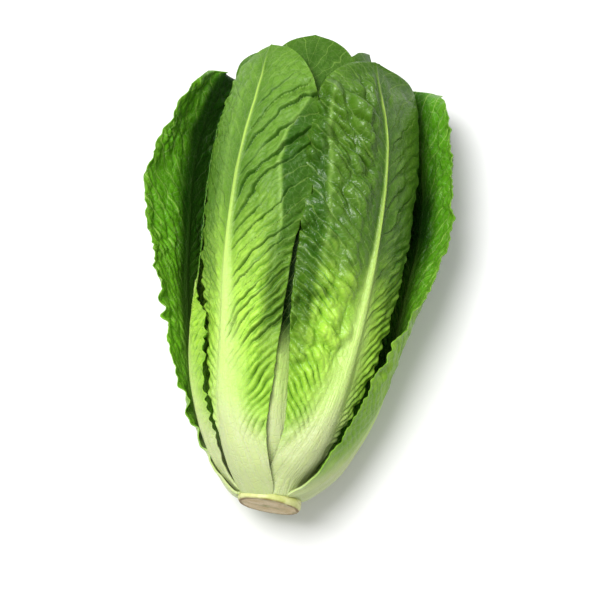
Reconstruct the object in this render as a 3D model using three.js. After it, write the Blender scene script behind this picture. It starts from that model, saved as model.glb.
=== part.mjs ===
// A romaine lettuce head lying on its side: a short cut stem with its leaves wrapped round it in a spiral.
//
// Units are millimetres. The head's axis runs along +Y from the cut face of the stem to the leaf tips,
// +Z is up and the head rests on the plane z = 0. Every leaf is one thin closed shell of its own.
//
// A leaf is described on nested shells round the axis. A place in the head has a bearing (degrees round
// the axis, 0 towards +X and 90 straight up), a radius and a distance along the axis. Leaf number n keeps
// to shell n, counted inwards from the outline, so two leaves can lie over each other and never meet.
// settled() then turns such a place into a point of the head at rest: a little flattened by its own
// weight, with a flat bed where it lies and a groove between its two front leaves.
import * as THREE from "three";

// --- The head --------------------------------------------------------------------------------------
const LEAF_COUNT = 22;
const SHELLS = 24.5; // the leaf count and a little empty room in the middle of the heart
const GOLDEN_ANGLE = 137.5; // from each leaf to the next one inwards, in degrees
const FIRST_BEARING = 219; // of the outermost leaf

// Radius of the head's outline at distances along the axis.
const outline = through([
  [0, 19], [7, 23], [16, 31], [30, 39.5], [60, 49.5], [90, 55.5], [120, 60],
  [150, 64], [185, 66.5], [215, 66], [245, 62.5], [270, 56], [294, 46],
]);
const CROWDING = 12; // degrees by which the leaf roots are drawn towards the top and the bottom
const CROWDING_ENDS = 60;
const FLATTENING = 0.86; // height over width, away from the stem
const FLATTENING_FULL = 70;
const BED_DEPTH = 50; // of the flat bed below the axis
const BED_BLEND = 0.06;
const GROOVE = { bearing: 94, spread: 13, depth: 0.13, starts: 15, full: 55, fades: 150, ends: 225 };

// --- The stem --------------------------------------------------------------------------------------
const CUT_RADIUS = 18.4;
const COLLAR = { radius: 19.3, height: 5.6, bevel: 1.4 };
const STEM_SIDES = 28;
const CORE_TIP = 70;
// Radius of the core that carries the leaves, above the collar.
const core = through([[6, 16.6], [20, 13.4], [40, 9], [60, 5], [CORE_TIP, 1.2]]);
const CORE_RINGS = [6.2, 14, 26, 40, 54, 64];
const CORE_CLEARANCE = 2.6; // from the core to the middle of the shells nearest to it

// --- The leaves ------------------------------------------------------------------------------------
const FIRST_ROOT = 6.6; // distance along the axis where the outermost leaf leaves the stem
const ROOT_STEP = 2.4; // from each leaf's root to the next one inwards
const BLADE = 1.3; // thickness of the blade
const MARGIN_THINS = 0.3; // share of that thickness that is gone at the margins
const RIB = {
  height: 6.2, heightTapers: 1.6, halfWidth: 11, widthTapers: 1.3, tipHalfWidth: 1.3,
  outward: 0.75, // share of the midrib that stands out on the outer skin
};
const WIDEST = 0.7; // share of its length at which a plain leaf is widest; the rounded tip starts there
const TIP_NARROWS = 0.985; // share of the rounded tip's quarter turn that the last section reaches
const LOW_PART = { whole: 0.3, ends: 0.62 }; // shares of a leaf's length, for the low widths given below
const ROOT_WIDENS = 0.12; // share of its length by which a leaf with a narrow root has its full width
const LEAN_STARTS = 0.4;
const FLARE_CURVE = 1.3; // how late across the blade a flare opens
const ROOT_CROWDING = 1.25; // of a leaf's sections towards its root
const RIB_CROWDING = 1.35; // of the grid's columns towards the midrib
// Half-width of a full leaf along its own curve, by share of its length up to the widest place.
const halfWidth = through([[0, 17], [0.1, 21], [0.2, 28], [0.35, 37], [0.5, 45], [WIDEST, 52]]);
// Distance of a leaf's tip along the axis, by leaf number.
const tipDistance = through([
  [0, 278], [1, 277], [2, 281], [4, 278], [5, 277], [7, 291], [10, 287],
  [13, 272], [16, 250], [18, 228], [21, 190],
]);
const tipWidthShare = through([[0, 1], [12, 0.92], [21, 0.62]]);
const ribShare = through([[0, 1], [8, 0.75], [14, 0.4], [21, 0.2]]);
const steepest = (n) => 64 + 1.2 * n; // half the angle that a leaf may wrap round the head, in degrees
const OUTER_LEAVES = 11; // these are seen, and have more sections than the ones inside

// What sets single leaves apart. bearing: turned by so many degrees. level: the shell and root that it
// has in place of its own number's. low: width of the low part of the blade, on the side of smaller
// bearings and on the side of larger ones. wide: width all along, and rootWidth: at the root besides.
// widest: share of the length at which the tip starts to round. rib: size of its midrib. off: how far
// the leaf stands off sideways, by distance along the axis. flare: how far one margin opens outwards,
// and the direction it opens in. lean: how far the tip swings round, in degrees.
const ODD_LEAVES = {
  0: { // left outer leaf, opened like a tray
    bearing: -11, low: [0.9, 1.1], widest: 0.82,
    off: through([
      [8, 0], [18, -1], [36, -5], [60, -9], [90, -12], [120, -12.5], [180, -15], [225, -16], [280, -13],
    ]),
    flare: {
      side: -1, way: [-0.86, -0.5],
      reach: through([[60, 0], [100, 8], [130, 12], [165, 20], [195, 24], [225, 23], [250, 21], [280, 10]]),
    },
  },
  1: { // right outer leaf, opened a little
    bearing: -19, low: [1.1, 1.45], widest: 0.86,
    off: through([[7, 0], [18, 3.5], [36, 6], [60, 10.5], [94, 14], [150, 15], [200, 16], [280, 13]]),
    flare: {
      side: 1, way: [0.8, -0.6],
      reach: through([[75, 0], [94, 4], [120, 11], [140, 17], [175, 23], [215, 21], [254, 22], [280, 13]]),
    },
  },
  2: { low: [1.12, 0.66], lean: -5 }, // left front leaf
  4: { // right front leaf
    bearing: -2, low: [0.86, 1.14], lean: -3, widest: 0.78,
    off: through([[20, 0], [60, 2], [100, 5], [150, 6], [220, 6], [268, 3]]),
    flare: { side: -1, reach: through([[45, 0], [100, 5], [150, 7], [220, 6], [268, 2]]), way: [1, -0.1] },
  },
  5: { // left side leaf, with one margin over the left front leaf
    bearing: 4, level: 1.3, low: [1.7, 0.8], wide: 0.56, rootWidth: 0.62, rib: 0.15, lean: 2,
    off: through([[8, 0], [14, -1.2], [50, -4], [85, -6], [120, -3], [150, 0]]),
  },
  7: { bearing: -5 },
};
const PLAIN_LEAF = { bearing: 0, low: [1, 1], wide: 1, widest: WIDEST, rootWidth: 1, rib: 1, lean: 0 };

// A smooth curve through pairs of (place, value), level beyond both ends.
function through(pairs) {
  const last = pairs.length - 1;
  const slope = (k) => {
    const [before, after] = [pairs[Math.max(0, k - 1)], pairs[Math.min(last, k + 1)]];
    return (after[1] - before[1]) / (after[0] - before[0]);
  };
  return (at) => {
    if (at <= pairs[0][0]) return pairs[0][1];
    if (at >= pairs[last][0]) return pairs[last][1];
    let k = 0;
    while (at > pairs[k + 1][0]) k += 1;
    const span = pairs[k + 1][0] - pairs[k][0];
    const t = (at - pairs[k][0]) / span;
    const [rise, fall] = [t * t * (3 - 2 * t), 1 - t * t * (3 - 2 * t)];
    const bend = slope(k) * t * (1 - t) ** 2 - slope(k + 1) * t * t * (1 - t);
    return fall * pairs[k][1] + rise * pairs[k + 1][1] + span * bend;
  };
}

const { smoothstep, lerp, degToRad } = THREE.MathUtils;

// The smaller of two values, with a rounded change from one to the other.
function softMin(a, b, blend) {
  const h = Math.max(0, blend - Math.abs(a - b)) / blend;
  return Math.min(a, b) - (h * h * blend) / 4;
}

// The point of the resting head at a bearing in degrees, a radius and a distance along the axis.
function settled(bearing, radius, along) {
  const crowded = CROWDING * (1 - smoothstep(along, FIRST_ROOT, CROWDING_ENDS));
  const turned = degToRad(bearing + crowded * Math.sin(degToRad(2 * bearing)));
  const squash = lerp(1, FLATTENING, smoothstep(along, FIRST_ROOT, FLATTENING_FULL));
  const [across, up] = [Math.cos(turned), Math.sin(turned) * squash];

  const wide = outline(along);
  const bed = up < 0 ? softMin(1, BED_DEPTH / Math.max(wide * -up, 1), BED_BLEND) : 1;
  const grooveFades = smoothstep(along, GROOVE.fades, GROOVE.ends);
  const inGroove = smoothstep(along, GROOVE.starts, GROOVE.full) * (1 - grooveFades);
  const away = (THREE.MathUtils.radToDeg(turned) - GROOVE.bearing) / GROOVE.spread;
  const groove = 1 - GROOVE.depth * inGroove * Math.exp(-away * away);
  const scale = radius * bed * groove;
  return new THREE.Vector3(across * scale, along, up * scale);
}

// Radius of shell n at a distance along the axis: the shells share the room between core and outline,
// and there are only as many of them as leaves have left the stem by then.
function shellRadius(n, along) {
  const present = softMin((along - FIRST_ROOT) / ROOT_STEP + 1, SHELLS, 4);
  const inner = core(along) + CORE_CLEARANCE;
  return lerp(inner, outline(along), Math.max(0, 1 - n / present));
}

// Distances along the axis of a leaf's sections, each with the half-width there: closer together at the
// curved root, and following the rounded tip.
function leafSections(root, tip, size, { low, widest: widestShare, rootWidth }, counts) {
  const widest = lerp(root, tip, widestShare);
  const sections = [];
  for (let k = 0; k < counts.low; k += 1) {
    const along = lerp(root, widest, (k / counts.low) ** ROOT_CROWDING);
    const share = (along - root) / (tip - root);
    const narrowing = 1 - smoothstep(share, LOW_PART.whole, LOW_PART.ends);
    const rooted = size * lerp(rootWidth, 1, smoothstep(share, 0, ROOT_WIDENS));
    const halves = low.map((side) => halfWidth(share) * rooted * lerp(1, side, narrowing));
    sections.push({ along, share, halves });
  }
  for (let k = 0; k <= counts.tip; k += 1) {
    const turn = ((k / counts.tip) * TIP_NARROWS * Math.PI) / 2;
    const along = widest + (tip - widest) * Math.sin(turn);
    const half = halfWidth(WIDEST) * size * Math.cos(turn);
    sections.push({ along, share: (along - root) / (tip - root), halves: [half, half] });
  }
  return sections;
}

// One leaf as a closed shell: an outer and an inner skin over the same grid, joined all round.
function leafGeometry(n) {
  const odd = { ...PLAIN_LEAF, level: n, ...ODD_LEAVES[n] };
  const counts = n < OUTER_LEAVES ? { side: 5, low: 9, tip: 5 } : { side: 4, low: 6, tip: 4 };
  const root = FIRST_ROOT + ROOT_STEP * odd.level;
  const sections = leafSections(root, tipDistance(n), tipWidthShare(n) * odd.wide, odd, counts);
  const bearing = FIRST_BEARING + GOLDEN_ANGLE * n + odd.bearing;
  const points = [];
  const grid = sections.map(({ along, share, halves }) => {
    const radius = shellRadius(odd.level, along);
    const middle = bearing + odd.lean * smoothstep(share, LEAN_STARTS, 1);
    const ribSize = ribShare(n) * odd.rib;
    const ribHeight = RIB.height * ribSize * (1 - share) ** RIB.heightTapers;
    const ribWidth = RIB.halfWidth * ribSize * (1 - share) ** RIB.widthTapers + RIB.tipHalfWidth;
    const row = [];
    for (let k = -counts.side; k <= counts.side; k += 1) {
      const u = Math.sign(k) * (Math.abs(k) / counts.side) ** RIB_CROWDING;
      const half = halves[u < 0 ? 0 : 1];
      const most = Math.min((half / radius) * (180 / Math.PI), steepest(n));
      const rib = ribHeight * Math.exp(-(((u * half) / ribWidth) ** 2));
      const skin = BLADE * (1 - MARGIN_THINS * Math.abs(u));
      const shift = sideways(odd, u, along);
      for (const reach of [skin / 2 + RIB.outward * rib, -skin / 2 - (1 - RIB.outward) * rib]) {
        points.push(settled(middle + u * most, radius + reach, along).add(shift));
      }
      row.push(points.length - 2);
    }
    return row;
  });
  return closedShell(points, grid);
}

// How far a leaf that stands off from the head is moved sideways there.
function sideways({ off, flare }, u, along) {
  const shift = new THREE.Vector3(off ? off(along) : 0, 0, 0);
  if (flare && u * flare.side > 0) {
    const opened = flare.reach(along) * Math.abs(u) ** FLARE_CURVE;
    shift.add(new THREE.Vector3(flare.way[0] * opened, 0, flare.way[1] * opened));
  }
  return shift;
}

// grid holds, row by row, the number of each outer point; its inner point is the next one.
function closedShell(points, grid) {
  const faces = [];
  const quad = (a, b, c, d) => faces.push(a, b, c, a, c, d);
  const [rows, columns] = [grid.length - 1, grid[0].length - 1];
  for (let j = 0; j < rows; j += 1) {
    const [low, high] = [grid[j], grid[j + 1]];
    for (let k = 0; k < columns; k += 1) {
      quad(low[k], high[k], high[k + 1], low[k + 1]);
      quad(low[k] + 1, low[k + 1] + 1, high[k + 1] + 1, high[k] + 1);
    }
    quad(low[0] + 1, high[0] + 1, high[0], low[0]);
    quad(low[columns], high[columns], high[columns] + 1, low[columns] + 1);
  }
  for (let k = 0; k < columns; k += 1) {
    const [root, tip] = [grid[0], grid[rows]];
    quad(root[k], root[k + 1], root[k + 1] + 1, root[k] + 1);
    quad(tip[k], tip[k] + 1, tip[k + 1] + 1, tip[k + 1]);
  }
  const geometry = new THREE.BufferGeometry().setFromPoints(points);
  geometry.setIndex(faces);
  return geometry;
}

// The cut stem: a collar that shows below the leaves, and the tapering core that carries them.
function stemGeometry() {
  const profile = [
    [0, 0], [CUT_RADIUS, 0], [COLLAR.radius, COLLAR.bevel], [COLLAR.radius, COLLAR.height],
    ...CORE_RINGS.map((along) => [core(along), along]), [0, CORE_TIP],
  ];
  const points = profile.map(([radius, along]) => new THREE.Vector2(radius, along));
  const geometry = new THREE.LatheGeometry(points, STEM_SIDES);
  const place = geometry.getAttribute("position");
  for (let k = 0; k < place.count; k += 1) {
    const [x, along, z] = [place.getX(k), place.getY(k), place.getZ(k)];
    const bearing = THREE.MathUtils.radToDeg(Math.atan2(z, x));
    const point = settled(bearing, Math.hypot(x, z), along);
    place.setXYZ(k, point.x, point.y, point.z);
  }
  return geometry;
}

// --- Putting the head together ---------------------------------------------------------------------
const outerGreen = new THREE.MeshStandardMaterial({ color: 0x5f9a2b, roughness: 0.45, metalness: 0 });
const heartGreen = new THREE.MeshStandardMaterial({ color: 0xb9d867, roughness: 0.45, metalness: 0 });
const stemCream = new THREE.MeshStandardMaterial({ color: 0xdbe6a4, roughness: 0.55, metalness: 0 });

function named(name, geometry, material) {
  const mesh = new THREE.Mesh(geometry, material);
  mesh.name = name;
  return mesh;
}

const LEAF_NAMES = {
  0: "left_outer_leaf", 1: "right_outer_leaf", 2: "left_front_leaf", 3: "underside_leaf",
  4: "right_front_leaf", 5: "left_side_leaf", 6: "right_underside_leaf", 7: "centre_leaf",
  8: "left_underside_leaf", 9: "right_side_leaf", 10: "left_back_leaf",
};
const leafName = (n) => LEAF_NAMES[n] ?? `heart_leaf_${String(n - OUTER_LEAVES + 1).padStart(2, "0")}`;

const lying = new THREE.Group();
lying.add(named("stem", stemGeometry(), stemCream));
for (let n = 0; n < LEAF_COUNT; n += 1) {
  lying.add(named(leafName(n), leafGeometry(n), n < OUTER_LEAVES ? outerGreen : heartGreen));
}

// The origin is at the middle of the head's footprint, on the surface that it lies on.
const box = new THREE.Box3().setFromObject(lying, true);
const middle = box.getCenter(new THREE.Vector3());
lying.position.set(-middle.x, -middle.y, -box.min.z);

const head = new THREE.Group();
head.add(lying);
export default head;
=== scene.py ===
import math

import bpy
import numpy as np
from mathutils import Matrix, Vector


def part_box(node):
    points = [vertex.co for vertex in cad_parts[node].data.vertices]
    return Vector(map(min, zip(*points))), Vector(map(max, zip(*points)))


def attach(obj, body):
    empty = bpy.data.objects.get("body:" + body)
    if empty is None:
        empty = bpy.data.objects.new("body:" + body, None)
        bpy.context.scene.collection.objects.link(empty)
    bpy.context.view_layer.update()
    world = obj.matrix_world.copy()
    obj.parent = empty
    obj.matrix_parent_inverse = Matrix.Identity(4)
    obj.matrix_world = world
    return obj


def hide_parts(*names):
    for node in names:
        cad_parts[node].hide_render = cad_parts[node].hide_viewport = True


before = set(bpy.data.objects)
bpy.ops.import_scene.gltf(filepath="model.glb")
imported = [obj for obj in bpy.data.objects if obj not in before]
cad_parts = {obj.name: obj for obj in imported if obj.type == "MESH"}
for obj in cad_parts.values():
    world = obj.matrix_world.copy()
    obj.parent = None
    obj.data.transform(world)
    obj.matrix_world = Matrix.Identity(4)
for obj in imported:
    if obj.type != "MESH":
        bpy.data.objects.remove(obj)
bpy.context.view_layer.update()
bpy.ops.object.select_all(action="DESELECT")


# --- Table and daylight -----------------------------------------------------------------------------
# The head lies on a white table, in the soft daylight of a window past its tip on the left. It is seen
# from nearly straight above, a little from the stem's side and turned a few degrees.
MM = 0.001
stem_low, stem_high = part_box("stem")
AXIS_X = (stem_low.x + stem_high.x) / 2
AXIS_Z = (stem_low.z + stem_high.z) / 2
CUT_Y = stem_low.y

VIEW_TURN = math.radians(6.4)
VIEW_TILT = math.radians(11)
VIEW_DISTANCE = 1.035
LENS = 100
LOOK_ASIDE = 4.6 * MM
LOOK_ALONG = 129 * MM
look_at = Vector((AXIS_X + LOOK_ASIDE, CUT_Y + LOOK_ALONG, AXIS_Z))
tilted = math.sin(VIEW_TILT)
view_back = Vector((math.sin(VIEW_TURN) * tilted, -math.cos(VIEW_TURN) * tilted, math.cos(VIEW_TILT)))
view_right = Vector((math.cos(VIEW_TURN), math.sin(VIEW_TURN), 0))
camera_data = bpy.data.cameras.new("camera")
camera_data.lens = LENS
camera = bpy.data.objects.new("camera", camera_data)
camera.location = look_at + view_back * VIEW_DISTANCE
view_up = view_back.cross(view_right)
camera.rotation_euler = Matrix((view_right, view_up, view_back)).transposed().to_euler()
bpy.context.scene.collection.objects.link(camera)
bpy.context.scene.camera = camera


DAYLIGHT = 0.47
TABLE_SIZE = 6
TABLE_WHITE = (0.9, 0.9, 0.9, 1)


def lamp(name, place, target, size, power):
    data = bpy.data.lights.new(name, "AREA")
    data.shape = "DISK"
    data.size = size
    data.energy = power
    lit = bpy.data.objects.new(name, data)
    lit.location = place
    lit.rotation_euler = (Vector(target) - Vector(place)).to_track_quat("-Z", "Y").to_euler()
    bpy.context.scene.collection.objects.link(lit)


lamp("window", (-0.4, 0.16, 1.3), (0, 0, 0.04), 0.7, 20)
lamp("ceiling", (0.1, 0.1, 1.9), (0, 0, 0), 1.8, 3)
room = bpy.data.worlds.new("room")
room.use_nodes = True
sky = room.node_tree.nodes["Background"]
sky.inputs["Color"].default_value = (1, 1, 1, 1)
sky.inputs["Strength"].default_value = DAYLIGHT
bpy.context.scene.world = room
bpy.context.scene.view_settings.view_transform = "Standard"

bpy.ops.mesh.primitive_plane_add(size=TABLE_SIZE)
table = bpy.context.object
table.name = "table"
painted = bpy.data.materials.new("white_table")
painted.use_nodes = True
paint = painted.node_tree.nodes["Principled BSDF"]
paint.inputs["Base Color"].default_value = TABLE_WHITE
paint.inputs["Roughness"].default_value = 0.8
table.data.materials.append(painted)
bpy.ops.object.select_all(action="DESELECT")


# --- Stem -------------------------------------------------------------------------------------------
# The short stump that carries the leaves, pale and fleshy, cut off a little aslant. Trimmed outer leaves
# left a low collar round it, and the cut face has dried to a tan with a brown rim.
STUMP_RADIUS = 18.4 * MM
COLLAR_RADIUS = 19.5 * MM
COLLAR_LENGTH = 6.5 * MM
SHOULDER_LENGTH = 5 * MM
SHOULDER_SHARE = 0.86
CORE_LENGTH = 46 * MM
CORE_SHARE = 0.62
CUT_RINGS = (1.2 * MM, 6 * MM, 7 * MM)
RING_EDGE = 1.2 * MM
SLANT_UP = 0.14
SLANT_ACROSS = -0.07
TAN_LOW, TAN_HIGH, TAN_STREAK = (190, 168, 120), (214, 196, 160), (150, 128, 84)
FLESH_LOW, FLESH_HIGH = (186, 193, 104), (214, 217, 148)
SCAR_BROWN, RIM_BROWN, EDGE_BROWN = (140, 128, 50), (112, 86, 36), (128, 100, 42)


class Value:
    """A node's output, with arithmetic."""

    def __init__(self, tree, socket=None):
        self.tree = tree
        self.socket = socket

    def node(self, kind, settings, inputs, output=0):
        made = self.tree.nodes.new(kind)
        for name, setting in settings.items():
            setattr(made, name, setting)
        for name, value in inputs.items():
            if isinstance(value, Value):
                self.tree.links.new(value.socket, made.inputs[name])
            else:
                made.inputs[name].default_value = value
        return Value(self.tree, made.outputs[output])

    def maths(self, operation, first, second=0.0):
        return self.node("ShaderNodeMath", {"operation": operation}, {0: first, 1: second})

    def __add__(self, other):
        return self.maths("ADD", self, other)

    def __radd__(self, other):
        return self.maths("ADD", other, self)

    def __sub__(self, other):
        return self.maths("SUBTRACT", self, other)

    def __rsub__(self, other):
        return self.maths("SUBTRACT", other, self)

    def __mul__(self, other):
        return self.maths("MULTIPLY", self, other)

    def __rmul__(self, other):
        return self.maths("MULTIPLY", other, self)

    def __pow__(self, other):
        return self.maths("POWER", self, other)

    def span(self, low, high):
        """0 below the low value, 1 above the high one, smooth between them."""
        settings = {"interpolation_type": "SMOOTHSTEP"}
        return self.node("ShaderNodeMapRange", settings, {0: self, 1: low, 2: high})

    def attribute(self, name, output="Fac"):
        return self.node("ShaderNodeAttribute", {"attribute_name": name}, {}, output)

    def noise(self, places, scale, detail=2.0):
        return self.node("ShaderNodeTexNoise", {}, {"Vector": places, "Scale": scale, "Detail": detail})

    def mix(self, first, second):
        """The first colour where this value is 0, the second where it is 1."""
        return self.node("ShaderNodeMix", {"data_type": "RGBA"}, {0: self, 6: first, 7: second}, 2)


def new_skin(name):
    material = bpy.data.materials.new(name)
    material.use_nodes = True
    shader = material.node_tree.nodes["Principled BSDF"]
    return material, shader, Value(material.node_tree)


def srgb(red, green, blue):
    """A colour given by everyday values from 0 to 255."""
    return (*[((c / 255 + 0.055) / 1.055) ** 2.4 for c in (red, green, blue)], 1.0)


def feed(socket, value):
    value.tree.links.new(value.socket, socket)


stump_skin, shader, make = new_skin("stem_flesh")
places = make.node("ShaderNodeTexCoord", {}, {}, "Object")
off_x = make.node("ShaderNodeSeparateXYZ", {}, {"Vector": places}, "X") - AXIS_X
off_y = make.node("ShaderNodeSeparateXYZ", {}, {"Vector": places}, "Y") - CUT_Y
off_z = make.node("ShaderNodeSeparateXYZ", {}, {"Vector": places}, "Z") - AXIS_Z
above_cut = off_y - off_x * SLANT_ACROSS - off_z * SLANT_UP
radius = (off_x * off_x + off_z * off_z) ** 0.5
blotches = make.noise(places, 160.0, 3.0)
streaks = make.noise(places, 900.0, 2.0)
flesh = blotches.span(0.3, 0.7).mix(srgb(*FLESH_LOW), srgb(*FLESH_HIGH))
scar = (above_cut + (blotches - 0.5) * (6 * MM)).span(4.2 * MM, 5.2 * MM)
scar_line = scar * (1 - scar) * 4
flesh = (scar_line * 0.5).mix(flesh, srgb(*SCAR_BROWN))
cut = blotches.span(0.25, 0.75).mix(srgb(*TAN_LOW), srgb(*TAN_HIGH))
cut = (streaks.span(0.45, 0.75) * 0.35).mix(cut, srgb(*TAN_STREAK))
rim = (radius + (blotches - 0.5) * (2.4 * MM)).span(STUMP_RADIUS - 2.3 * MM, STUMP_RADIUS - 1.0 * MM)
cut = (rim * 0.85).mix(cut, srgb(*RIM_BROWN))
edge_stain = 1 - (above_cut + (blotches - 0.5) * (1.2 * MM)).span(0.2 * MM, 1.0 * MM)
flesh = (edge_stain * 0.75).mix(flesh, srgb(*EDGE_BROWN))
on_cut = 1 - above_cut.span(0.12 * MM, 0.3 * MM)
feed(shader.inputs["Base Color"], on_cut.mix(flesh, cut))
feed(shader.inputs["Roughness"], on_cut * 0.3 + 0.45)
grain = streaks * 0.5 + blotches
grain = make.node("ShaderNodeBump", {}, {"Strength": 0.4, "Distance": MM, "Height": grain})
feed(shader.inputs["Normal"], grain)

bpy.ops.mesh.primitive_cylinder_add(
    vertices=96,
    radius=STUMP_RADIUS,
    depth=COLLAR_LENGTH,
    location=(AXIS_X, CUT_Y + COLLAR_LENGTH / 2, AXIS_Z),
    rotation=(math.pi / 2, 0, 0),
)
stump = bpy.context.object
stump.name = "stem_stump"
bpy.ops.object.transform_apply(location=True, rotation=True, scale=True)


def pick_faces(piece, wanted):
    """Selects, in edit mode, the faces for which wanted(centre, normal) is true."""
    bpy.ops.object.mode_set(mode="EDIT")
    bpy.ops.mesh.select_mode(type="FACE")
    bpy.ops.mesh.select_all(action="DESELECT")
    bpy.ops.object.mode_set(mode="OBJECT")
    for face in piece.data.polygons:
        face.select = wanted(face.center, face.normal)
    bpy.ops.object.mode_set(mode="EDIT")


def widen(share, along=0.0):
    """Resizes what is selected about the head's axis, and pushes it towards the tip."""
    centre = (AXIS_X, 0, AXIS_Z)
    bpy.ops.transform.resize(value=(share, 1, share), center_override=centre)
    bpy.ops.transform.translate(value=(0, along, 0))


# The core, narrowing towards the heart; then the collar's swell, the rim and the domed cut face.
pick_faces(stump, lambda centre, normal: normal.y > 0.9)
bpy.ops.mesh.extrude_region_move()
widen(SHOULDER_SHARE, SHOULDER_LENGTH)
bpy.ops.mesh.extrude_region_move()
widen(CORE_SHARE, CORE_LENGTH - COLLAR_LENGTH - SHOULDER_LENGTH)
pick_faces(stump, lambda centre, normal: normal.y < -0.9)
for ring in CUT_RINGS:
    bpy.ops.mesh.inset(thickness=ring)
bpy.ops.object.mode_set(mode="OBJECT")
ring_cuts = stump.modifiers.new("ring_cuts", "SUBSURF")
ring_cuts.subdivision_type = "SIMPLE"
ring_cuts.levels = 2
ring_cuts.render_levels = 2
bpy.ops.object.modifier_apply(modifier=ring_cuts.name)
bpy.ops.object.mode_set(mode="EDIT")
bpy.ops.mesh.select_all(action="DESELECT")
bpy.ops.object.mode_set(mode="OBJECT")
for vertex in stump.data.vertices:
    vertex.select = RING_EDGE < vertex.co.y - CUT_Y < COLLAR_LENGTH - RING_EDGE
bpy.ops.object.mode_set(mode="EDIT")
bpy.ops.mesh.select_mode(type="VERT")
widen(COLLAR_RADIUS / STUMP_RADIUS)
bpy.ops.object.mode_set(mode="OBJECT")
# The knife went through a little aslant.
for vertex in stump.data.vertices:
    fades = 1 - min((vertex.co.y - CUT_Y) / COLLAR_LENGTH, 1)
    slant = (vertex.co.x - AXIS_X) * SLANT_ACROSS + (vertex.co.z - AXIS_Z) * SLANT_UP
    vertex.co.y += slant * fades
lumps = bpy.data.textures.new("stem_lumps", "CLOUDS")
lumps.noise_scale = 0.009
uneven = stump.modifiers.new("uneven", "DISPLACE")
uneven.texture = lumps
uneven.texture_coords = "LOCAL"
uneven.strength = 0.9 * MM
uneven.mid_level = 0.6
bpy.ops.object.modifier_apply(modifier=uneven.name)
bpy.ops.object.shade_smooth_by_angle(angle=math.radians(35))
stump.data.materials.append(stump_skin)
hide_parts("stem")
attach(stump, "root")
bpy.ops.object.select_all(action="DESELECT")


# --- Heart leaves -----------------------------------------------------------------------------------
# The youngest leaves, upright round the core and wrapped into each other: small, pale, nearly smooth,
# with broad soft midribs. Every leaf is a thin blade on a fleshy midrib, and grows from the stem.
def smoothstep(low, high, x):
    t = np.clip((x - low) / (high - low), 0, 1)
    return t * t * (3 - 2 * t)


def by_distance(pairs, at):
    """A value given at some distances, and straight between them."""
    return np.interp(at, [pair[0] for pair in pairs], [pair[1] for pair in pairs])


def unit(vectors):
    return vectors / np.maximum(np.linalg.norm(vectors, axis=-1, keepdims=True), 1e-9)


def smooth_through(rows, at):
    """Values at fractional row numbers, on a smooth curve through the rows."""
    at = np.clip(at, 0, len(rows) - 1.000001)
    first = at.astype(int)
    t = (at - first).reshape(-1, *[1] * (rows.ndim - 1))
    ends = np.concatenate([2 * rows[:1] - rows[1:2], rows, 2 * rows[-1:] - rows[-2:-1]])
    a, b, c, d = (ends[first + k] for k in range(4))
    bend = (2 * a - 5 * b + 4 * c - d) * t**2 + (3 * b - a - 3 * c + d) * t**3
    return 0.5 * (2 * b + (c - a) * t + bend)


SECTION_WITHIN = 1.2e-5  # m, along the head, between the points of one cross-section
NARROW_END = math.radians(9)
RIB_CROWDS = 1.35  # how much closer the CAD's points are by the midrib than at the margin


def cross_sections(node):
    """The middle of a leaf node's blade: points [section from root to tip, place from margin to margin]."""
    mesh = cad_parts[node].data
    found = np.empty(len(mesh.vertices) * 3)
    mesh.vertices.foreach_get("co", found)
    found = np.unique(np.round(found.reshape(-1, 3), 6), axis=0)
    sections = []
    for along in np.unique(np.round(found[:, 1], 5)):
        row = found[np.abs(found[:, 1] - along) < SECTION_WITHIN]
        across = row[:, 0] - AXIS_X
        rise = row[:, 2] - AXIS_Z
        middle = math.atan2(rise.mean(), across.mean())
        angle = (np.arctan2(rise, across) - middle + np.pi) % (2 * np.pi) - np.pi
        radius = np.hypot(across, rise)
        order = np.argsort(angle)
        if np.ptp(angle) < NARROW_END:  # here the radius tells the skins apart
            outer = [k for k in order if radius[k] > np.median(radius)]
            inner = [k for k in order if radius[k] <= np.median(radius)]
            sections.append((row[outer] + row[inner]) / 2)
        else:
            sections.append((row[order[0::2]] + row[order[1::2]]) / 2)
    return np.array(sections)


ROOT_REACHES = 5.6  # mm from the cut face, at the collar's top
ROOT_RADIUS = 18.2  # mm from the axis there


def fine_surface(node, rows, columns, trims, root_inset):
    """The blade's middle on an even grid, in mm: [row from root to tip, column from margin to margin].
    trims gives the share of each half that is kept, from root to tip. root_inset, if there is one, runs
    the root down to the collar, that far inside its top."""
    coarse = cross_sections(node) / MM
    if root_inset is not None:
        axis = np.array([AXIS_X, CUT_Y, AXIS_Z]) / MM
        spokes = (coarse[0] - axis) * (1, 0, 1)
        shrunk = (ROOT_RADIUS - root_inset) / np.linalg.norm(spokes, axis=1, keepdims=True)
        foot = axis + spokes * np.minimum(shrunk, 1) + (0, ROOT_REACHES + root_inset, 0)
        coarse = np.concatenate([[foot], coarse])
    steps = sum(np.linalg.norm(np.diff(coarse[:, end], axis=0), axis=1) for end in (0, -1))
    reached = np.concatenate([[0], np.cumsum(steps)])
    row_at = np.interp(np.linspace(0, reached[-1], rows), reached, np.arange(len(coarse)))
    halves = (coarse.shape[1] - 1) / 2
    share = np.linspace(-1, 1, columns)
    along = smooth_through(coarse, row_at)
    surface = []
    for row, far in zip(along, np.linspace(0, 1, rows)):
        kept = share * np.where(share < 0, by_distance(trims[0], far), by_distance(trims[1], far))
        column_at = halves * (1 + np.sign(kept) * np.abs(kept) ** (1 / RIB_CROWDS))
        surface.append(smooth_through(row, column_at))
    return np.array(surface)


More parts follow.
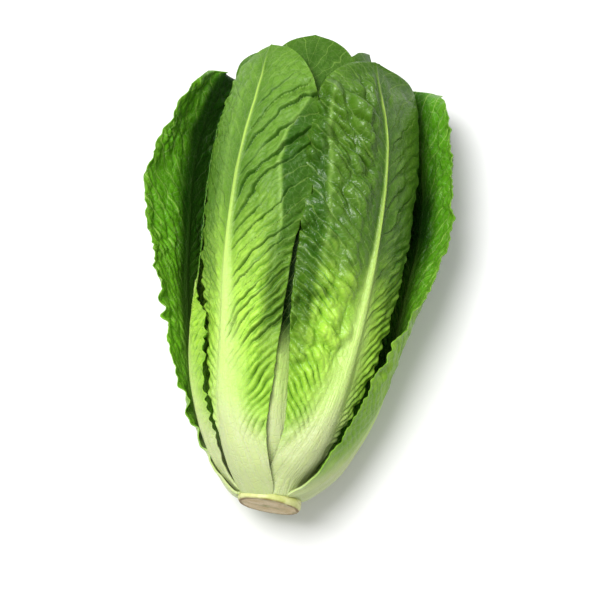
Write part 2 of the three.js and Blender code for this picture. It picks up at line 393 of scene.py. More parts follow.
def wander(places, size, seed):
    """Smooth chance values between -1 and 1, that change over the given size."""
    lattice = np.random.default_rng(seed).uniform(-1, 1, (32, 32, 32))
    scaled = places / size
    low = np.floor(scaled).astype(int)
    t = scaled - low
    t = t * t * (3 - 2 * t)
    total = 0
    for corner in range(8):
        step = np.array([corner & 1, corner >> 1 & 1, corner >> 2])
        weight = np.prod(np.where(step, t, 1 - t), axis=-1)
        k = (low + step) % 32
        total = total + weight * lattice[k[..., 0], k[..., 1], k[..., 2]]
    return total


def cushions(x, y, size, seed):
    """How far inside its own cell of a scattered net each place is: 0 on the net's lines."""
    jitter = np.random.default_rng(seed).uniform(0.12, 0.88, (64, 64, 2))
    cell_x = np.floor(x / size).astype(int)
    cell_y = np.floor(y / size).astype(int)
    first = np.full(x.shape, 9.0)
    second = np.full(x.shape, 9.0)
    for dx in (-1, 0, 1):
        for dy in (-1, 0, 1):
            centre = jitter[(cell_x + dx) % 64, (cell_y + dy) % 64]
            away_x = cell_x + dx + centre[..., 0] - x / size
            away_y = cell_y + dy + centre[..., 1] - y / size
            away = np.hypot(away_x, away_y)
            second = np.minimum(second, np.maximum(first, away))
            first = np.minimum(first, away)
    return second - first


class Blade:
    """A leaf's middle surface on a fine grid, with every point's distances in mm: s from the midrib, less
    than 0 on the side of smaller bearings, v from the root along the midrib, and run along the margin.
    width is how far the margin is from the midrib, and edge a share of it. share is one of the length."""

    def __init__(self, node, seed, want):
        rows = want["rows"]
        columns = want["columns"]
        self.node = node
        self.seed = seed
        self.rows = rows
        self.columns = columns
        self.middle = fine_surface(node, rows, columns, want["trims"], want["root_inset"])
        self.across = unit(np.gradient(self.middle, axis=1))
        along = unit(np.gradient(self.middle, axis=0))
        self.outward = unit(np.cross(along, self.across))
        steps = np.linalg.norm(np.diff(self.middle, axis=1), axis=2)
        s = np.concatenate([np.zeros((rows, 1)), np.cumsum(steps, axis=1)], axis=1)
        low = (columns - 1) // 2
        high = columns // 2
        rib_line = (self.middle[:, low] + self.middle[:, high]) / 2
        v = np.concatenate([[0], np.cumsum(np.linalg.norm(np.diff(rib_line, axis=0), axis=1))])
        self.s = s - ((s[:, low] + s[:, high]) / 2 + by_distance(want["rib_aside"], v))[:, None]
        self.v = np.broadcast_to(v[:, None], s.shape)
        self.share = self.v / v[-1]
        self.side = np.sign(self.s)
        self.width = np.where(self.s < 0, -self.s[:, :1], self.s[:, -1:])
        self.edge = np.clip(np.abs(self.s) / np.maximum(self.width, 0.5), 0, 1)
        self.to_margin = self.width - np.abs(self.s)
        self.run = np.zeros_like(self.s)
        for side, end in ((-1, 0), (1, -1)):
            step = np.linalg.norm(np.diff(self.middle[:, end], axis=0), axis=1)
            run = np.concatenate([[0], np.cumsum(step)])[:, None] + 400 * end
            self.run = np.where(self.side == side, run, self.run)
        self.flat = np.stack([self.s, self.v, np.full_like(self.s, seed * 7.7)], axis=-1)

    def chance(self, size, number, stretch=(1, 1, 1)):
        """Smooth chance values on the flattened leaf, another pattern for each number."""
        return wander(self.flat * stretch, size, 100 * self.seed + number)

    def by_side(self, pair):
        return np.where(self.side < 0, pair[0], pair[1])


# All in mm, by the distance from the root: how far the side veins climb, how far apart they are, the
# midrib's half width and height, and half the width of the pale band round it.
VEIN_CLIMB = [(0, 5.2), (100, 4.6), (170, 4.0), (220, 4.4), (300, 4.4)]
VEIN_SPACING = [(-90, 6), (30, 6), (100, 7.5), (150, 11), (200, 14), (300, 15)]
RIB_HALF = [(0, 14), (20, 11), (50, 7), (80, 4.6), (110, 3.1), (150, 2.0), (200, 1.4), (250, 0.9)]
RIB_HIGH = [
    (0, 0.8), (14, 1.8), (34, 3.4), (60, 3.2), (90, 2.6), (140, 2.0), (190, 1.5), (240, 0.9), (280, 0.3)
]
PALE_HALF = [
    (0, 40), (30, 26), (60, 15), (90, 10), (120, 6), (160, 1.9), (200, 1.1), (250, 0.7), (300, 0.4)
]

# What a leaf is like if nothing else is said, in mm. A pair is for the side of smaller bearings and for
# the other side.
PLAIN = dict(
    rows=150,
    columns=80,
    root_inset=None,
    trims=([(0, 1)], [(0, 1)]),
    # steps: how far the blade drops behind a side vein. puffs: how high its cushions are, and puff_size
    # how wide. pleats: how high the folds by the lower midrib are.
    steps=(0.4, 0.4),
    puffs=(0.5, 0.5),
    puff_size=8,
    pleats=(0.4, 0.4),
    # ruffle: how far the margin waves, and wave how long a wave is. lobes: how far the lobes stand out,
    # and lobe_pitch how far apart they are. sway: how uneven the whole blade is.
    ruffle=1.0,
    wave=17,
    lobes=0.5,
    lobe_pitch=9.5,
    sway=0.6,
    # rib: the midrib's size, as a share of a big leaf's. rib_aside: how far it stands beside the middle.
    # pale_ends: where the pale band round it fades out.
    rib=1.0,
    rib_aside=[(0, 0)],
    pale_ends=(250, 285),
    # folds: where a side turns down, gets painted shade, or both. starts is a share of the width, depth is
    # in mm, painted_shade is how dark the painted shade gets, and soft over what share. hollows:
    # where painted shade darkens the inner face by the midrib. laid: how far a margin is moved over its
    # neighbour, across and up.
    folds=[],
    hollows=[],
    laid=[],
)


def number_veins(blade):
    """Counts the side veins from the root up: a whole number is on a vein. Also their spacing in mm."""
    climb = by_distance(VEIN_CLIMB, blade.v)
    leaves_rib = blade.v - climb * np.abs(blade.s) ** 0.67 + 3.0 * blade.chance(22, 1)
    place = np.arange(-90, 320, 1.0)
    counted = np.cumsum(1 / by_distance(VEIN_SPACING, place))
    number = np.interp(leaves_rib, place, counted) + 0.5 * (blade.side > 0)
    number = number + 0.34 * blade.chance(16, 2, (0.25, 1, 1)) + 0.15 * blade.chance(4.5, 3)
    return number, by_distance(VEIN_SPACING, leaves_rib)


def side_vein_steps(blade, want, number, spacing):
    """Between two side veins the blade swells, and breaks off steeply on the side of the root. Gives its
    height, and the depth of the step behind each vein."""
    drawn = np.random.default_rng(100 * blade.seed + 4).uniform(0, 1, 256)
    strength = drawn[(np.floor(number) + 60 + 64 * (blade.side > 0)).astype(int) % 256]
    past_vein = number - np.floor(number)
    steep = 1.5 / spacing
    step = np.minimum(past_vein / steep, (1 - past_vein) / (1 - steep))
    reach = 1 - smoothstep(0.55 + 0.35 * strength, 0.8 + 0.35 * strength, blade.edge)
    here = reach * smoothstep(1.5, 6, np.abs(blade.s)) * smoothstep(0.22, 0.45, blade.share)
    here *= 1 - smoothstep(0.86, 0.97, blade.share)
    patch = np.clip(0.75 + 0.9 * blade.chance(13, 5), 0.1, 1.5)
    depth = blade.by_side(want["steps"]) * strength**1.4 * here * patch
    return depth * (step - 0.4), depth


def puckers(blade, want, number, spacing):
    """Cushions of two sizes between the smallest veins. Gives their height, and how much of one each
    place is, from 0 to 1."""
    up = (number * spacing) * 0.4 + 0.45 * blade.v + 500
    aside = blade.s + 500 + 2.2 * blade.chance(9, 6)
    large = smoothstep(0.0, 0.6, cushions(aside, up, want["puff_size"], blade.seed + 7))
    small = smoothstep(0.0, 0.4, cushions(aside, up, want["puff_size"] * 0.45, blade.seed + 8))
    tip_smooth = 1 - smoothstep(0.93, 0.985, blade.share)
    bed = smoothstep(0.04, 0.3, blade.edge) * smoothstep(0.15, 0.45, blade.share) * tip_smooth
    patchy = np.clip(0.7 + 0.7 * blade.chance(24, 9), 0.1, 1.4)
    lumps = 0.55 * blade.chance(7, 19) + 0.8 * blade.chance(15, 20)
    height = blade.by_side(want["puffs"]) * (large + 0.25 * small + lumps) * bed * patchy
    return height, (large * 0.7 + small * 0.3) * bed


def pleats(blade, number):
    """The pleats that fan out from the lower midrib to the margin: above 0 on their backs."""
    fan = smoothstep(0.25, 0.7, blade.edge) * smoothstep(0.1, 0.2, blade.share)
    fan = fan * (1 - smoothstep(0.5, 0.7, blade.share))
    fan = fan * np.clip(0.7 + 0.8 * blade.chance(11, 18), 0.1, 1.3)
    return (2.2 * np.abs(np.sin(np.pi * (1.05 * number + 0.16 * blade.chance(7, 10)))) - 1.3) * fan


def margin_waves(blade, want):
    """A long and a short wave along the margin, here stronger and there weaker."""
    wave = np.sin(2 * np.pi * blade.run / want["wave"] + blade.seed + 5 * blade.chance(28, 11))
    wave = wave + 0.3 * np.sin(2 * np.pi * blade.run / 8 + 2 * blade.seed + 4 * blade.chance(18, 12))
    wave = wave * np.clip(0.75 + 1.1 * blade.chance(33, 22), 0.1, 1.7)
    wave = wave * (1 - 0.8 * smoothstep(0.9, 0.97, blade.share))
    return want["ruffle"] * wave * np.exp(-blade.to_margin / 7) * smoothstep(0.03, 0.15, blade.share)


def relief(blade, want):
    """The blade's height off its middle surface in mm, and masks of what the relief does where, and of where
    painted shade and a painted highlight go.
    """
    edge, v = blade.edge, blade.v
    number, spacing = number_veins(blade)
    lift, step_depth = side_vein_steps(blade, want, number, spacing)
    height, puff = puckers(blade, want, number, spacing)
    lift = lift + height
    pleat = pleats(blade, number)
    lift = lift + blade.by_side(want["pleats"]) * pleat * 0.5
    strands = np.sin(6.9 * np.abs(blade.s) / np.maximum(by_distance(RIB_HALF, v), 2.4))
    lift = lift + 0.22 * strands * (1 - smoothstep(40, 110, v)) * smoothstep(4, 9, np.abs(blade.s))
    lift = lift + margin_waves(blade, want)
    lift = lift + want["sway"] * blade.chance(48, 13) * smoothstep(0.1, 0.4, blade.share)

    # Folds turn a side down and carry painted shade, with a painted highlight along their crest.
    painted_fold_shade = np.zeros_like(lift)
    painted_crest_highlight = np.zeros_like(lift)
    for fold in want["folds"]:
        on_side = blade.side == fold["side"]
        starts = by_distance(fold["starts"], v) + 0.02 * blade.chance(14, 14)
        past = np.clip((edge - starts) / (1 - starts), 0, 1) * on_side
        depth = by_distance(fold["depth"], v)
        lift = lift - depth * past**1.15
        ridge = np.exp(-(((edge - starts) / 0.022) ** 2))
        painted_crest_highlight = np.maximum(painted_crest_highlight, ridge * depth / 8 * on_side)
        painted_fold_shade = np.maximum(painted_fold_shade, smoothstep(0.0, fold["soft"], past) * by_distance(fold["painted_shade"], v))
    # Painted shade on the inner face, by the midrib and over the half that runs in under the head; the depth
    # given for it is how dark the painted shade gets, not a length.
    painted_valley_dark = np.zeros_like(lift)
    for hollow in want["hollows"]:
        outwards = edge * np.where(blade.side == hollow["side"], 1, -1) + 0.07 * blade.chance(12, 21)
        shaded = (1 - smoothstep(*hollow["reaches"], outwards)) * by_distance(hollow["depth"], v)
        painted_valley_dark = np.maximum(painted_valley_dark, shaded)
    lift *= smoothstep(0, 14, blade.width)

    masks = dict(number=number, spacing=spacing, puff=puff, painted_fold_shade=painted_fold_shade, painted_crest_highlight=painted_crest_highlight, painted_valley_dark=painted_valley_dark)
    masks["crease"] = np.clip(step_depth / 1.3, 0, 1)
    masks["pleat"] = pleat * np.clip(blade.by_side(want["pleats"]), 0, 1)
    return lift, masks


def edge_lobes(blade, want):
    """How far the margin stands out in mm: rounded lobes with small teeth, and notches between them."""
    place = blade.run / want["lobe_pitch"] + 0.5 * blade.chance(25, 15)
    lobe = np.sqrt(np.sin(np.pi * place) ** 2 + 0.02) - 0.65
    teeth = np.sqrt(np.sin(np.pi * (blade.run / 4.3 + 0.8 * blade.chance(9, 16))) ** 2 + 0.04) - 0.65
    tender = 0.12 + 0.6 * (1 - smoothstep(0.35, 0.6, blade.share))
    uneven_size = np.clip(0.7 + 1.1 * blade.chance(26, 17), 0.1, 1.6)
    shaped = (lobe + teeth * tender) * uneven_size * want["lobes"]
    return shaped * np.exp(-blade.to_margin / 3.5) * smoothstep(0.04, 0.14, blade.share)


def lay_on_table(points):
    """Presses flat what would go through the table."""
    soft = 0.7
    points[..., 2] = 0.3 + soft * np.logaddexp(0, (points[..., 2] - 0.3) / soft)
    return points


def store(piece, name, kind, values):
    attribute = piece.data.attributes.new(name, kind, "POINT")
    key = "vector" if kind == "FLOAT_VECTOR" else "value"
    attribute.data.foreach_set(key, values.astype(np.float32).ravel())


def lay_over(surface, blade, want):
    """Moves a margin over its neighbour's."""
    for laid in want["laid"]:
        near_edge = smoothstep(0.3, 1.0, blade.edge) * (blade.side == laid["side"])
        near_edge = near_edge * smoothstep(0, 24, blade.width)
        for axis, moved in ((0, laid["across"]), (2, laid["up"])):
            surface[..., axis] += near_edge * by_distance(moved, blade.v)


def two_skins(surface, blade, want):
    """The outer and the inner skin of the blade. The midrib stands out on the outer one."""
    rib_high = want["rib"] * by_distance(RIB_HIGH, blade.v)
    rib_half = want["rib"] ** 0.5 * by_distance(RIB_HALF, blade.v)
    rib = rib_high * np.exp(-np.abs(blade.s / rib_half) ** 2.6)
    normal = unit(np.cross(unit(np.gradient(surface, axis=0)), unit(np.gradient(surface, axis=1))))
    thick = 0.4 - 0.15 * blade.edge + 0.5 * (1 - smoothstep(0, 0.25, blade.share))
    outer = lay_on_table(surface + normal * (thick + rib)[..., None])
    inner = lay_on_table(surface - normal * (thick + 0.2 * rib)[..., None])
    return outer, inner


def leaf(node, seed, skin, slot, **wanted):
    """Makes one leaf in its node's place: a grid with a thickness, laid along the node's middle surface."""
    want = {**PLAIN, **wanted}
    blade = Blade(node, seed, want)
    lift, masks = relief(blade, want)
    surface = blade.middle + blade.outward * lift[..., None]
    surface = surface + blade.across * (edge_lobes(blade, want) * blade.side)[..., None]
    lay_over(surface, blade, want)
    outer, inner = two_skins(surface, blade, want)

    bpy.ops.mesh.primitive_grid_add(x_subdivisions=blade.columns - 1, y_subdivisions=blade.rows - 1, size=2)
    made = bpy.context.object
    made.name = node + "_blade"
    found = np.empty(len(made.data.vertices) * 3)
    made.data.vertices.foreach_get("co", found)
    found = found.reshape(-1, 3)
    row = np.round((found[:, 1] + 1) / 2 * (blade.rows - 1)).astype(int)
    column = blade.columns - 1 - np.round((found[:, 0] + 1) / 2 * (blade.columns - 1)).astype(int)
    skins = made.modifiers.new("two_skins", "SOLIDIFY")
    skins.thickness = MM
    bpy.ops.object.modifier_apply(modifier=skins.name)
    both = np.concatenate([outer[row, column], inner[row, column]]) * MM
    made.data.vertices.foreach_set("co", both.astype(np.float32).ravel())
    made.data.update()
    bpy.ops.object.shade_smooth()

    masks["rise"] = blade.share
    # Lighter towards the margin: partly the margins' own paler green, partly painted light where they catch
    # it.
    masks["rim"] = np.exp(-blade.to_margin / 1.4) * 0.5 + np.exp(-blade.to_margin / 9) * 0.5
    pale_half = by_distance(PALE_HALF, blade.v) * want["rib"] ** 0.4
    fades = 1 - smoothstep(*want["pale_ends"], blade.v)
    masks["pale"] = np.exp(-np.abs(blade.s / pale_half) ** 2.4) * fades
    masks["foot"] = 1 - smoothstep(22, 100, blade.v + 1.3 * np.abs(blade.s))
    for name, mask in masks.items():
        store(made, name, "FLOAT", np.tile(mask[row, column], 2))
    store(made, "face", "FLOAT", np.repeat([0.0, 1.0], len(row)))
    spread = np.stack([blade.s, blade.v, np.full_like(blade.s, 60 * seed)], axis=-1)[row, column] * MM
    store(made, "flat", "FLOAT_VECTOR", np.tile(spread, (2, 1)))
    made.data.materials.append(skin)
    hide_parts(node)
    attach(made, "root")
    bpy.ops.object.select_all(action="DESELECT")


RIB_BY_ROOT, RIB_BY_TIP, RIB_FIBRES = (190, 220, 122), (166, 202, 84), (184, 214, 104)
FOOT, FOOT_FIBRES = (190, 202, 146), (186, 204, 118)
VEINS, VEIN_BRANCHES, VEIN_NET = (176, 210, 104), (190, 216, 140), (176, 206, 118)
# A lighter margin green, partly the margins' own and partly painted light; a painted highlight for fold
# crests; near-black painted shade.
RIM_TONE_AND_PAINTED_LIGHT, PAINTED_CREST_HIGHLIGHT, PAINTED_VALLEY_SHADOW = (122, 168, 48), (150, 190, 92), (9, 40, 4)
# Multiplies the green darker: for the leaf's own mottle, and as painted shade between the cushions.
MOTTLE_AND_CUSHION_SHADE = (0.36, 0.5, 0.2, 1)


def fine_veins(make, flat, mottle):
    """The finest net of veins, and the small branches that show here and there."""
    bent = make.noise(flat, 160.0, 1.0)
    wobble = make.node("ShaderNodeCombineXYZ", {}, {0: bent, 1: mottle})
    wobble = {0: wobble, 1: (0.004,) * 3, 2: flat}
    shifted = make.node("ShaderNodeVectorMath", {"operation": "MULTIPLY_ADD"}, wobble)
    by_edges = {"feature": "DISTANCE_TO_EDGE"}
    net = make.node("ShaderNodeTexVoronoi", by_edges, {"Vector": shifted, "Scale": 270.0})
    wide_net = make.node("ShaderNodeTexVoronoi", by_edges, {"Vector": shifted, "Scale": 95.0})
    return 1 - net.span(0.0, 0.10), (1 - wide_net.span(0.0, 0.025)) * mottle.span(0.4, 0.65)


def leaf_skin(name, back, face, turns=(0.36, 0.68), hollow=(54, 114, 8), painted_shade_green=(30, 76, 0),
              lights=(0.02, 0.75), gloss=0.42, shine=0.22):
    """back and face are the low and high colours of the outer and the inner skin. The low one gives way to
    the high one between two shares of the leaf's length, turns. hollow is the colour of the
    painted shade in the pleats' valleys, and painted_shade_green that of the painted shade on folds and in
    creases. lights: from how much cushion and mottle on it is dark, and light; the
    mottle is the leaf's own uneven tone, the cushions' part is painted shade and painted light. gloss is
    the roughness, and shine the strength of the reflection."""
    material, shader, make = new_skin(name)
    rise = make.attribute("rise")
    pale = make.attribute("pale")
    face_side = make.attribute("face")
    number = make.attribute("number")
    spacing = make.attribute("spacing")
    flat = make.attribute("flat", "Vector")
    mottle = make.noise(flat, 90.0, 3.0)
    fine = make.noise(flat, 700.0, 2.0)
    lines, branches = fine_veins(make, flat, mottle)

    # Distances in mm past the side vein below, and to the nearest one.
    past = make.maths("FRACT", number) * spacing
    nearest = make.maths("ABSOLUTE", make.maths("FRACT", number + 0.5) - 0.5) * spacing
    vein = (1 - nearest.span(0.15, 0.6)) * rise.span(0.1, 0.3)
    crease = (1 - past.span(0.4, 2.4)) * make.attribute("crease")
    painted_pleat_shade = (make.attribute("pleat") * -1.0).span(0.0, 0.7)

    # The blade's greens, from the broad changes to the finest lines, with painted shade and painted light
    # laid in.
    up = (rise + (mottle - 0.5) * 0.25).span(*turns)
    green = face_side.mix(up.mix(srgb(*back[0]), srgb(*back[1])), up.mix(srgb(*face[0]), srgb(*face[1])))
    # The mottle is the leaf's own uneven tone; the cushions add painted light on their tops and painted
    # shade between them.
    mottle_and_cushion_light = (mottle * 0.5 + fine * 0.25 + make.attribute("puff") * 0.45).span(*lights)
    dark_green = make.node("ShaderNodeMix", {"data_type": "RGBA", "blend_type": "MULTIPLY"},
                           {0: 1.0, 6: green, 7: MOTTLE_AND_CUSHION_SHADE}, 2)
    green = mottle_and_cushion_light.mix(dark_green, green)
    # Painted shade in the pleats' valleys.
    green = (painted_pleat_shade * 0.7).mix(green, srgb(*hollow))
    # Painted shade on folds.
    green = (make.attribute("painted_fold_shade") * 0.85).mix(green, srgb(*painted_shade_green))
    # A painted highlight along the folds' crests.
    green = (make.attribute("painted_crest_highlight") * 0.55).mix(green, srgb(*PAINTED_CREST_HIGHLIGHT))
    # Lighter margins: partly their own paler green, partly painted light.
    green = (make.attribute("rim") * (face_side * 0.35 + 0.25)).mix(green, srgb(*RIM_TONE_AND_PAINTED_LIGHT))
    green = (lines * (face_side * 0.07 + 0.06)).mix(green, srgb(*VEIN_NET))
    green = (branches * (face_side * 0.3 + 0.06)).mix(green, srgb(*VEIN_BRANCHES))
    green = (vein * (face_side * 0.3 + 0.18)).mix(green, srgb(*VEINS))
    # Painted shade along the creases behind the side veins; the same mask also sinks them in the bump.
    green = (crease * 0.8).mix(green, srgb(*painted_shade_green))

    # The pale midrib and foot, with fibres along them.
    long_places = make.node("ShaderNodeVectorMath", {"operation": "MULTIPLY"}, {0: flat, 1: (1, 0.07, 1)})
    fibres = make.noise(long_places, 900.0, 2.0).span(0.35, 0.65)
    rib = rise.span(0.3, 0.75).mix(srgb(*RIB_BY_ROOT), srgb(*RIB_BY_TIP))
    rib = (fibres * 0.3).mix(rib, srgb(*RIB_FIBRES))
    foot = (fibres * 0.4).mix(srgb(*FOOT), srgb(*FOOT_FIBRES))
    green = (pale * (face_side * -0.85 + 1.0)).mix(green, rib)
    foot_here = make.attribute("foot") + (mottle - 0.5) * 0.3
    colour = foot_here.span(0.1, 0.8).mix(green, foot)
    # Near-black painted shade on the inner face, by the midrib and over the half that runs in under the
    # head.
    colour = (make.attribute("painted_valley_dark") * face_side * 0.92).mix(colour, srgb(*PAINTED_VALLEY_SHADOW))
    feed(shader.inputs["Base Color"], colour)
    feed(shader.inputs["Roughness"], mottle * 0.2 + (gloss - 0.1) + pale * 0.06)
    height = fine * 0.35 + mottle * 0.5 - lines * 0.25 - crease * 1.2 - branches * 0.2 + fibres * pale * 0.4
    bump = make.node("ShaderNodeBump", {}, {"Strength": 0.7, "Distance": 0.7 * MM, "Height": height})
    feed(shader.inputs["Normal"], bump)
    shader.inputs["Subsurface Weight"].default_value = 0.12
    shader.inputs["Subsurface Radius"].default_value = (0.5, 1.0, 0.12)
    shader.inputs["Subsurface Scale"].default_value = 0.002
    shader.inputs["Specular IOR Level"].default_value = shine
    return material


HEART_LEAVES = 11
heart_skin = leaf_skin("heart_leaf", ((176, 206, 92), (140, 184, 60)), ((170, 202, 84), (118, 166, 44)))
for k in range(1, HEART_LEAVES + 1):
    leaf(f"heart_leaf_{k:02d}", 40 + k, heart_skin, "heart_leaf", rows=120, columns=60,
         rib=0.6, sway=0.3, puffs=(0.4, 0.4))


# --- Covered leaves ---------------------------------------------------------------------------------
# The layer round the heart, of which only tips and margins show between the outer leaves. One shows all
# the way down the groove between the two front leaves, and four are lain upon or hidden by them.
COVERED = ((118, 160, 46), (70, 112, 26))
COVERED_FACE = ((100, 150, 34), (52, 98, 12))
covered_skin = leaf_skin("covered_leaf", COVERED, COVERED_FACE)
# Painted shade: the centre leaf shows only in the slit between the front leaves, so its greens are darkened,
# and two folds of painted shade darken both halves further.
CENTRE_IN_PAINTED_SHADE = ((60, 104, 26), (78, 120, 36))
centre_skin = leaf_skin("centre_leaf", CENTRE_IN_PAINTED_SHADE, COVERED_FACE, (0.68, 0.9),
                        painted_shade_green=(7, 36, 3), gloss=0.6, shine=0.1)
in_the_dark = [(84, 0), (104, 1), (215, 1), (245, 0.4), (290, 0.2)]
leaf("centre_leaf", 20, centre_skin, "outer_leaf", rows=180, columns=96, ruffle=0.4, puffs=(0.5, 0.5),
     pleats=(0.5, 0.5), sway=0.2, pale_ends=(76, 104), root_inset=2.5,
     folds=[dict(side=k, soft=0.02, starts=[(0, -0.1)], depth=[(0, 0)], painted_shade=in_the_dark) for k in (-1, 1)])
# Its tip peeps out past the left front leaf's.
peeps_out = dict(
    side=1,
    across=[(185, 0), (235, -17), (262, -21), (290, -15)],
    up=[(185, 0), (235, 8), (290, 12)],
)
leaf("left_back_leaf", 21, covered_skin, "outer_leaf", rows=180, columns=96, puffs=(0.8, 0.8), sway=0.4,
     laid=[peeps_out], root_inset=2)
LAIN_UPON = ["right_side_leaf", "left_underside_leaf", "right_underside_leaf", "underside_leaf"]
for k, node in enumerate(LAIN_UPON):
    leaf(node, 22 + k, covered_skin, "outer_leaf", rows=180, columns=96, puffs=(0.8, 0.8), sway=0.4,
         root_inset=2)


# --- Front leaves -----------------------------------------------------------------------------------
# The two big leaves closed over the top, their backs upwards, with the midribs standing out and side
# veins sunk in creases. Their inner margins turn down into the groove between them.
FRONT_FACE = ((92, 146, 30), (66, 114, 18))
LEFT_GREEN = ((176, 222, 78), (96, 138, 42))
RIGHT_GREEN = ((178, 226, 74), (78, 118, 26))
front_skin = leaf_skin("left_front", LEFT_GREEN, FRONT_FACE, (0.36, 0.7))
# The side by the groove sinks into it under painted shade, the lower pleats there get painted shade, and
# the outer margin turns down, with painted shade on it too.
left_groove = dict(
    side=-1,
    soft=0.12,
    starts=[(60, 0.84), (110, 0.74), (165, 0.76), (185, 0.64), (206, 0.53), (226, 0.56), (247, 0.86)],
    depth=[(100, 0.5), (150, 2.5), (175, 7), (220, 8), (247, 3), (262, 0)],
    painted_shade=[(60, 0), (85, 0.25), (120, 0.75), (170, 1), (235, 1), (250, 0.5), (262, 0)],
)
left_pleats_painted_shade = dict(
    side=-1,
    soft=0.45,
    starts=[(40, 0.6), (180, 0.55)],
    depth=[(60, 0)],
    painted_shade=[(68, 0), (88, 0.35), (108, 0.85), (150, 0.85), (180, 0.3), (195, 0)],
)
left_turn = dict(
    side=1,
    soft=0.25,
    starts=[(60, 0.1), (260, 0.3)],
    depth=[(80, 0), (120, 1.5), (250, 2), (270, 0)],
    painted_shade=[(100, 0), (140, 0.6), (200, 0.5), (240, 0.15), (260, 0)],
)
left_trims = (
    [(0.22, 1), (0.3, 0.93), (0.4, 0.9), (0.52, 0.92), (0.6, 1)],
    [(0.84, 1), (0.92, 0.8), (0.97, 0.5), (1, 0.4)],
)
leaf("left_front_leaf", 3, front_skin, "outer_leaf", rows=330, columns=136, root_inset=0.6, trims=left_trims,
     steps=(5.5, 1.2), puffs=(0.8, 0.8), puff_size=7, pleats=(3.2, 1.0), ruffle=0.9, wave=15, lobes=0.4,
     rib_aside=[(200, 0), (225, -1.2), (245, -2.4), (262, -2), (278, 0)],
     folds=[left_groove, left_pleats_painted_shade, left_turn])

right_skin = leaf_skin("right_front", RIGHT_GREEN, FRONT_FACE, (0.34, 0.6),
                       gloss=0.32, shine=0.35, lights=(0.08, 0.82))
# The side by the groove sinks into it under painted shade, and the outer side turns down, with a lighter
# painted shade over the outer half. At the shoulder its margin is laid lower.
right_groove = dict(
    side=1,
    soft=0.3,
    starts=[(60, 0.84), (110, 0.7), (150, 0.66), (200, 0.7), (260, 0.8)],
    depth=[(90, 0.5), (140, 4), (240, 6), (265, 1)],
    painted_shade=[(66, 0), (88, 0.4), (112, 0.95), (200, 1), (250, 0.6), (268, 0)],
)
right_turn = dict(
    side=-1,
    soft=0.25,
    starts=[(90, 0.85), (260, 0.85)],
    depth=[(80, 0), (120, 2.5), (250, 2.5), (270, 0)],
    painted_shade=[(60, 0), (100, 0.3), (250, 0.3), (270, 0)],
)
right_shoulder = dict(side=-1, across=[(195, 0), (235, 5), (262, 10), (275, 9)], up=[(195, 0), (262, -5)])
right_painted_shade = dict(
    side=-1,
    soft=0.5,
    starts=[(60, 0.08), (260, 0.08)],
    depth=[(60, 0)],
    painted_shade=[(60, 0), (110, 0.35), (160, 0.35), (220, 0.1), (260, 0)],
)
leaf("right_front_leaf", 4, right_skin, "outer_leaf", rows=330, columns=136, root_inset=1.2,
     steps=(2.0, 1.2), puffs=(0.8, 4.8), puff_size=15, pleats=(2.4, 4.0), ruffle=1.0, wave=15, lobes=0.5,
     rib_aside=[(40, 0), (70, -1.2), (110, -3.4), (150, -4), (200, -4), (225, -3.2), (245, -1.6), (260, 0)],
     folds=[right_groove, right_turn, right_painted_shade], laid=[right_shoulder])


# --- Left side leaf ---------------------------------------------------------------------------------
# A narrow leaf that lies against the left front leaf, over its edge. Its pale midrib is on the left, and
# its ruffled yellow-green margin on the right. It gives way to the opened leaf in its upper half.
STRIP = ((160, 206, 62), (64, 116, 22))
strip_skin = leaf_skin("left_side", STRIP, ((120, 166, 40), (62, 112, 24)), (0.42, 0.62))
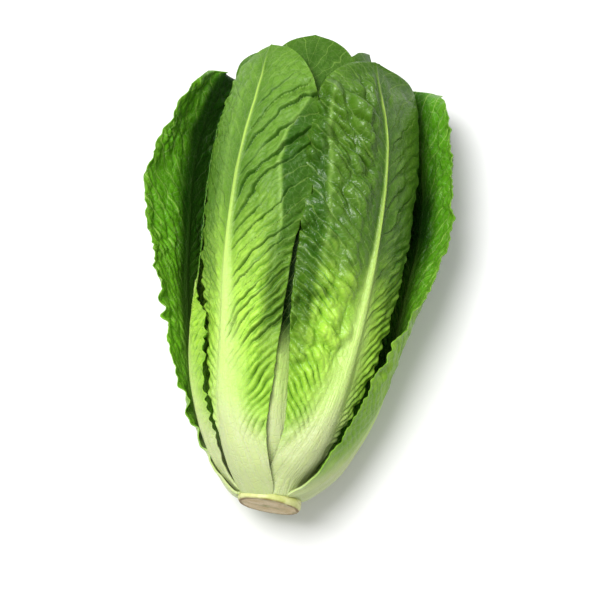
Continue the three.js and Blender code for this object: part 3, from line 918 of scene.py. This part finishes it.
# The margin is laid over the left front leaf's, and stands up from it.
strip_over_front = dict(
    side=-1,
    across=[(8, 0), (30, 5), (60, 7), (110, 6), (150, 0)],
    up=[(8, 0), (30, 3), (60, 6), (110, 5), (150, 0)],
)
leaf("left_side_leaf", 5, strip_skin, "outer_leaf", rows=260, columns=110, root_inset=1.5,
     trims=([(0.4, 1), (0.5, 0.2), (0.6, 0.06)], [(0.5, 1), (0.65, 0.4)]),
     puffs=(1.8, 0.6), puff_size=5, pleats=(2.4, 0.4), ruffle=1.3, wave=11, lobes=0.35, lobe_pitch=8,
     sway=0.3, rib=0.45, rib_aside=[(10, 0), (40, -7), (80, -10), (160, -10)], laid=[strip_over_front])


# --- Opened leaves ----------------------------------------------------------------------------------
# The two outermost leaves, that have fallen open to the left and the right. They show their darker inner
# faces, hollow between thin white veins, and broad lobed margins.
OPENED = ((134, 180, 44), (104, 146, 56))
left_opened = leaf_skin("left_opened", OPENED, ((122, 190, 38), (88, 154, 22)), gloss=0.36)
# Painted shade on its inner face, by the midrib and over the half that runs in under the head.
left_painted_valley_shade = dict(side=-1, reaches=(0.08, 0.42), depth=[(75, 0), (110, 0.9), (270, 1)])
# The outer margin is drawn in near the tip.
drawn_in = dict(side=-1, across=[(215, 0), (250, 7), (280, 8)], up=[(0, 0)])
leaf("left_outer_leaf", 1, left_opened, "outer_leaf", rows=330, columns=136, root_inset=1.2,
     steps=(0.5, 0.5), puffs=(-1.5, -1.5), puff_size=10, ruffle=1.8, wave=24, lobes=1.9, lobe_pitch=11,
     sway=1.3, rib=0.9, hollows=[left_painted_valley_shade], laid=[drawn_in])
right_opened = leaf_skin("right_opened", OPENED, ((104, 168, 30), (78, 144, 18)), gloss=0.36)
# Low down, the inner margin is laid over the right front leaf's.
right_over_front = dict(
    side=1,
    across=[(12, 0), (36, -7), (60, -7), (90, -4), (125, 0)],
    up=[(12, 0), (36, 1), (60, 3), (90, 1), (125, 0)],
)
# Painted shade on its inner face, by the midrib and over the half that runs in under the head.
right_painted_valley_shade = dict(
    side=1,
    reaches=(0.2, 0.66),
    depth=[(75, 0), (100, 0.7), (120, 0.8), (150, 0.4), (170, 0.6), (195, 1), (215, 1), (240, 0.5)],
)
leaf("right_outer_leaf", 2, right_opened, "outer_leaf", rows=330, columns=136, root_inset=1.2,
     steps=(0.5, 0.5), puffs=(-1.5, -1.5), puff_size=10, pleats=(0.4, 0.5), ruffle=1.8, wave=22, lobes=1.6,
     lobe_pitch=13, sway=1.3, rib=0.9, hollows=[right_painted_valley_shade], laid=[right_over_front])
